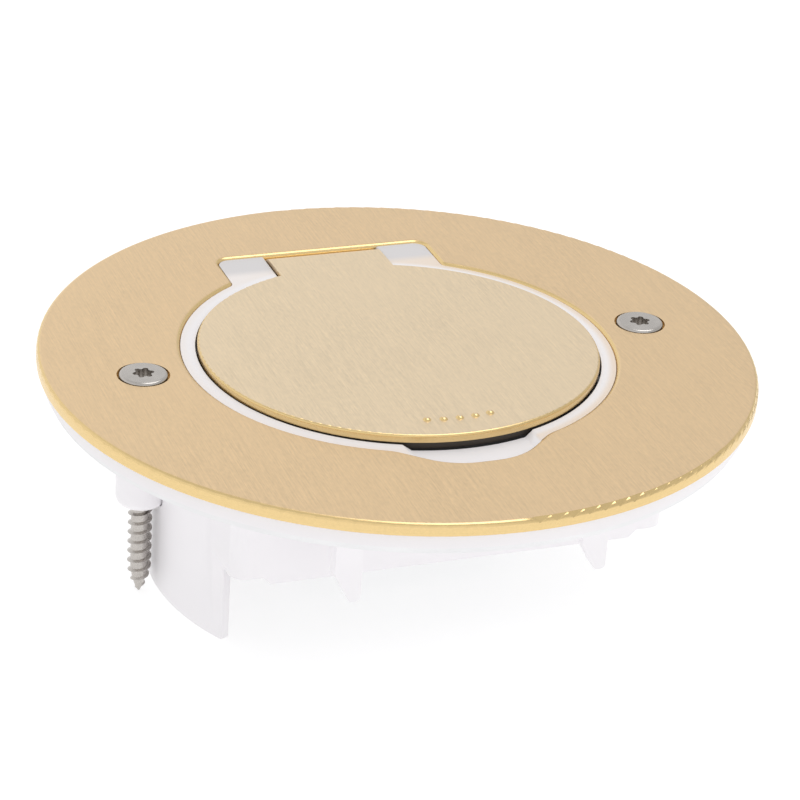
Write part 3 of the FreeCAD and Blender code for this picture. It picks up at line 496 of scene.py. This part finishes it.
def add_thread(shape, axis_x, settings):
    """Right-handed thread round an upright axis, narrowing to a blunt tip at the screw's low end."""
    pitch = settings.thread_pitch
    core = settings.thread_core
    crest = settings.thread_crest
    outline = ((0.0, core), (0.64, 0.96 * core), (0.80, crest), (0.84, crest), (1.0, core))
    verts = [shape.verts.new((axis_x + radius, 0.0, screw_tip + (share - 1.0) * pitch))
             for share, radius in outline]
    edges = [shape.edges.new(pair) for pair in zip(verts, verts[1:])]
    before = set(shape.verts) - set(verts)
    turns = math.ceil((-settings.shank_depth - screw_tip) / pitch) + 1
    steps = turns * THREAD_STEPS
    bmesh.ops.spin(shape, geom=verts + edges, cent=(axis_x, 0.0, 0.0), axis=(0.0, 0.0, 1.0),
                   dvec=(0.0, 0.0, pitch / THREAD_STEPS), angle=turns * math.tau, steps=steps,
                   use_merge=False)
    for vert in set(shape.verts) - before:
        height = vert.co.z - screw_tip
        if height > 0.0:
            away = max(0.0, 1.0 - height / settings.tip_length)
            narrow = 1.0 - (1.0 - TIP_SHARE) * away ** 2
        else:
            narrow = TIP_SHARE * max(0.0, 1.0 + height / pitch)
            vert.co.z = screw_tip
        vert.co.x = axis_x + (vert.co.x - axis_x) * narrow
        vert.co.y *= narrow
    new_verts = list(set(shape.verts) - before)
    bmesh.ops.remove_doubles(shape, verts=new_verts, dist=MERGE_DISTANCE)


def repaint(node, material):
    """Gives a CAD node that keeps its own mesh a new material."""
    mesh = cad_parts[node].data
    mesh.materials.clear()
    mesh.materials.append(material)


def beside_the_tab(edge):
    """True for the top edges of the liner's blocks that run along the lid's hinge tab."""
    first, second = (vert.co for vert in edge.verts)
    tab_half = (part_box("hinge_pin")[1].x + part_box("lid_seal")[1].x) / 2
    level = abs(first.z - liner_top) < MERGE_DISTANCE and abs(second.z - liner_top) < MERGE_DISTANCE
    along_y = abs(first.x - second.x) < MERGE_DISTANCE and abs(first.y - second.y) > MM
    return level and along_y and first.y > 0.0 and abs(first.x) < tab_half


# ---------------------------------------------------------------- operators, one per piece or group
class FLOORBOX_OT_cover_plate(bpy.types.Operator):
    """Round brushed plate with polished edges"""
    bl_idname = "floorbox.cover_plate"
    bl_label = "Cover plate"

    def execute(self, context):
        brass = context.scene.floorbox_brass
        finish = brushed_brass("brushed_plate", brass.face_colour, brass, plate_high.y + MM)
        finished_node("cover_plate", "root", finish)
        return {"FINISHED"}


class FLOORBOX_OT_lid(bpy.types.Operator):
    """Brushed lid, its moulded backing and its rubber lip"""
    bl_idname = "floorbox.lid"
    bl_label = "Lid"

    def execute(self, context):
        brass = context.scene.floorbox_brass
        moulding = context.scene.floorbox_moulding
        finish = brushed_brass("brushed_lid", brass.lid_painted_sheen_colour, brass, brass.tab_start)
        lid = merged_copy("lid_plate")
        for vert in lid.verts:
            if vert.co.y > brass.hinge_line:
                vert.co.y = brass.hinge_line + brass.curl_reach * (vert.co.y - brass.hinge_line)
        finish_piece(lid, "lid_with_full_curl", "lid", "lid_plate", finish)
        finished_node("lid_backing", "lid", moulded_plastic("black_moulding", moulding.black, 0.5, 0.6, 0.2),
                      moulding.edge_round)
        finished_node("lid_seal", "lid", soft_rubber("lid_rubber", moulding.rubber))
        return {"FINISHED"}


class FLOORBOX_OT_frame(bpy.types.Operator):
    """White mouldings: frame, skirt, liner and the soft seal on the floor"""
    bl_idname = "floorbox.frame"
    bl_label = "Frame"

    def execute(self, context):
        moulding = context.scene.floorbox_moulding
        white = moulded_plastic("white_moulding", moulding.white)
        for node in ("support_frame", "guard_skirt"):
            finished_node(node, "root", white, moulding.edge_round)
        liner = merged_copy("aperture_liner")
        beside_tab = [edge for edge in liner.edges if beside_the_tab(edge)]
        bmesh.ops.bevel(liner, geom=beside_tab, offset=moulding.block_round, segments=5, profile=0.5,
                        affect="EDGES", material=-1)
        finish_piece(liner, "liner_with_rounded_blocks", "root", "aperture_liner",
                     liner_plastic("liner_moulding", moulding), moulding.edge_round / 3)
        finished_node("floor_seal", "root", closed_foam("white_foam", moulding.foam))
        return {"FINISHED"}


class FLOORBOX_OT_socket(bpy.types.Operator):
    """Socket face, recess floor, earth pin and the seal between face and frame"""
    bl_idname = "floorbox.socket"
    bl_label = "Socket"

    def execute(self, context):
        moulding = context.scene.floorbox_moulding
        metal = context.scene.floorbox_metal
        face = moulded_plastic("socket_moulding", moulding.white, 0.3, 0.12)
        finished_node("socket_face", "root", face)
        finished_node("recess_floor", "root", face, moulding.edge_round)
        finished_node("earth_pin", "root", plain_metal("nickel_plate", metal.nickel, 0.25))
        finished_node("socket_seal", "root", soft_rubber("face_rubber", moulding.rubber))
        return {"FINISHED"}


class FLOORBOX_OT_inner_works(bpy.types.Operator):
    """Tray, shutter, spring, housing, contacts, terminals and rear cover"""
    bl_idname = "floorbox.inner_works"
    bl_label = "Inner works"

    def execute(self, context):
        moulding = context.scene.floorbox_moulding
        metal = context.scene.floorbox_metal
        grey = moulded_plastic("grey_moulding", moulding.grey, 0.45, 0.4, 0.08)
        for node in ("shutter_tray", "contact_housing", "rear_cover"):
            finished_node(node, "root", grey, moulding.edge_round)
        orange = moulded_plastic("orange_moulding", moulding.orange, 0.42, 0.3, 0.1)
        finished_node("shutter", "shutter", orange, moulding.edge_round)
        contact = plain_metal("contact_brass", metal.contact, 0.32, (600.0, 600.0, 4000.0), 0.2)
        for node in ("live_contact", "neutral_contact", "earth_strap", "live_terminal", "neutral_terminal",
                     "earth_terminal"):
            finished_node(node, "root", contact)
        repaint("shutter_spring", plain_metal("spring_wire", metal.zinc, 0.3, (3000.0, 500.0, 3000.0)))
        return {"FINISHED"}


class FLOORBOX_OT_fasteners(bpy.types.Operator):
    """Plate screws, small screws and hinge pin"""
    bl_idname = "floorbox.fasteners"
    bl_label = "Fasteners"

    def execute(self, context):
        metal = context.scene.floorbox_metal
        stainless = plain_metal("stainless_screw", metal.stainless, 0.27, (2500.0, 2500.0, 2500.0), 0.2)
        screws = merged_copy("plate_screws")
        bmesh.ops.bisect_plane(screws, geom=screws.verts[:] + screws.edges[:] + screws.faces[:],
                               plane_co=(0.0, 0.0, -metal.shank_depth), plane_no=(0.0, 0.0, 1.0),
                               clear_inner=True)
        bmesh.ops.holes_fill(screws, edges=[edge for edge in screws.edges if edge.is_boundary])
        for side in (-1, 1):
            add_thread(screws, side * metal.head_centre, metal)
        bmesh.ops.recalc_face_normals(screws, faces=screws.faces)
        finish_piece(screws, "threaded_plate_screws", "root", "plate_screws", stainless)
        finished_node("hinge_pin", "root", stainless)
        zinc = plain_metal("zinc_screw", metal.zinc, 0.3, (1500.0, 1500.0, 4000.0))
        for node in ("liner_screws", "socket_screws", "rear_cover_screws", "terminal_screws"):
            finished_node(node, "root", zinc, 0.1 * MM)
        return {"FINISHED"}


class FLOORBOX_OT_studio(bpy.types.Operator):
    """Pale floor, soft light and camera"""
    bl_idname = "floorbox.studio"
    bl_label = "Studio"

    def execute(self, context):
        studio = context.scene.floorbox_studio
        context.scene.view_settings.view_transform = "Standard"
        make_floor(studio)
        make_surroundings(studio)
        make_lamp(studio)
        make_camera(studio)
        return {"FINISHED"}


# ---------------------------------------------------------------- studio
def make_floor(studio):
    shape = bmesh.new()
    level = Matrix.Translation((0.0, 0.0, cad_low.z - 0.02 * MM))
    bmesh.ops.create_grid(shape, x_segments=1, y_segments=1, size=20 * plate_high.x, matrix=level)
    mesh = bpy.data.meshes.new("floor")
    shape.to_mesh(mesh)
    shape.free()
    floor = bpy.data.objects.new("floor", mesh)
    bpy.context.scene.collection.objects.link(floor)
    shader = Shader("pale_floor")
    shader.set(Base_Color=studio.floor_colour, Roughness=0.9, Emission_Color=(1.0, 1.0, 1.0, 1.0))
    glow = shader.ranged(shader.seen_directly(), studio.floor_glow, studio.floor_white)
    shader.link(glow, shader.surface.inputs["Emission Strength"])
    mesh.materials.append(shader.material)


def make_surroundings(studio):
    """Even white room; shiny faces see it dimmer overhead and a little dimmer towards the right."""
    world = bpy.data.worlds.new("surroundings")
    world.use_nodes = True
    bpy.context.scene.world = world
    tree = NodeTree(world.node_tree)
    background = tree.nodes["Background"]
    background.inputs["Color"].default_value = (1.0, 1.0, 1.0, 1.0)
    direction = tree.node("SeparateXYZ")
    tree.link(tree.node("TexCoord").outputs["Generated"], direction.inputs["Vector"])
    overhead = tree.ranged(direction.outputs["Z"], 1.0, studio.ceiling, 0.5, 0.85, smooth=True)
    rightwards = tree.ranged(direction.outputs["X"], 1.0, studio.far_side, 0.1, 0.7)
    reflected = tree.math("MULTIPLY", overhead, rightwards)
    path = tree.node("LightPath")
    around = tree.ranged(direction.outputs["X"], studio.fill_left, studio.fill, -1.0, 0.2)
    level = tree.blended(path.outputs["Is Glossy Ray"], around, reflected)
    backdrop = tree.math("MAXIMUM", path.outputs["Is Camera Ray"], path.outputs["Is Transmission Ray"])
    tree.link(tree.blended(backdrop, level, 1.0), background.inputs["Strength"])


def make_lamp(studio):
    """Soft lamp that looks at the plate's centre."""
    data = bpy.data.lights.new("key", "AREA")
    data.energy = studio.key_power
    data.size = studio.key_size
    lamp = bpy.data.objects.new("key", data)
    place = Vector(studio.key_place)
    lamp.location = place
    lamp.rotation_euler = (-place).to_track_quat("-Z", "Y").to_euler()
    bpy.context.scene.collection.objects.link(lamp)


def make_camera(studio):
    """Looks at the target along azimuth and elevation, then leans by the roll."""
    data = bpy.data.cameras.new("camera")
    data.lens = studio.camera_lens
    data.sensor_width = 36.0
    camera = bpy.data.objects.new("camera", data)
    azimuth = studio.camera_azimuth
    elevation = studio.camera_elevation
    back = Vector((math.sin(azimuth) * math.cos(elevation), -math.cos(azimuth) * math.cos(elevation),
                   math.sin(elevation)))
    camera.location = Vector(studio.camera_target) + back * studio.camera_distance
    level_turn = (-back).to_track_quat("-Z", "Y").to_matrix()
    lean = Euler((0.0, 0.0, studio.camera_roll)).to_matrix()
    camera.rotation_euler = (level_turn @ lean).to_euler()
    bpy.context.scene.collection.objects.link(camera)
    bpy.context.scene.camera = camera


# ---------------------------------------------------------------- panel and registration
OPERATORS = (
    FLOORBOX_OT_cover_plate,
    FLOORBOX_OT_lid,
    FLOORBOX_OT_frame,
    FLOORBOX_OT_socket,
    FLOORBOX_OT_inner_works,
    FLOORBOX_OT_fasteners,
    FLOORBOX_OT_studio,
)
SETTINGS = {
    "floorbox_brass": BrassSettings,
    "floorbox_moulding": MouldingSettings,
    "floorbox_metal": MetalSettings,
    "floorbox_studio": StudioSettings,
}


class FLOORBOX_PT_pieces(bpy.types.Panel):
    """Lists the operators and their settings"""
    bl_label = "Floor box"
    bl_idname = "FLOORBOX_PT_pieces"
    bl_space_type = "VIEW_3D"
    bl_region_type = "UI"
    bl_category = "Floor Box"

    def draw(self, context):
        for operator in OPERATORS:
            self.layout.operator(operator.bl_idname)
        for name, kind in SETTINGS.items():
            box = self.layout.box()
            for setting in kind.__annotations__:
                box.prop(getattr(context.scene, name), setting)


def register():
    for kind in (*SETTINGS.values(), *OPERATORS, FLOORBOX_PT_pieces):
        bpy.utils.register_class(kind)
    for name, kind in SETTINGS.items():
        setattr(bpy.types.Scene, name, bpy.props.PointerProperty(type=kind))


def unregister():
    for name in SETTINGS:
        delattr(bpy.types.Scene, name)
    for kind in reversed((*SETTINGS.values(), *OPERATORS, FLOORBOX_PT_pieces)):
        bpy.utils.unregister_class(kind)


def main():
    register()
    bpy.ops.floorbox.cover_plate()
    bpy.ops.floorbox.lid()
    bpy.ops.floorbox.frame()
    bpy.ops.floorbox.socket()
    bpy.ops.floorbox.inner_works()
    bpy.ops.floorbox.fasteners()
    bpy.ops.floorbox.studio()


if __name__ == "__main__":
    main()
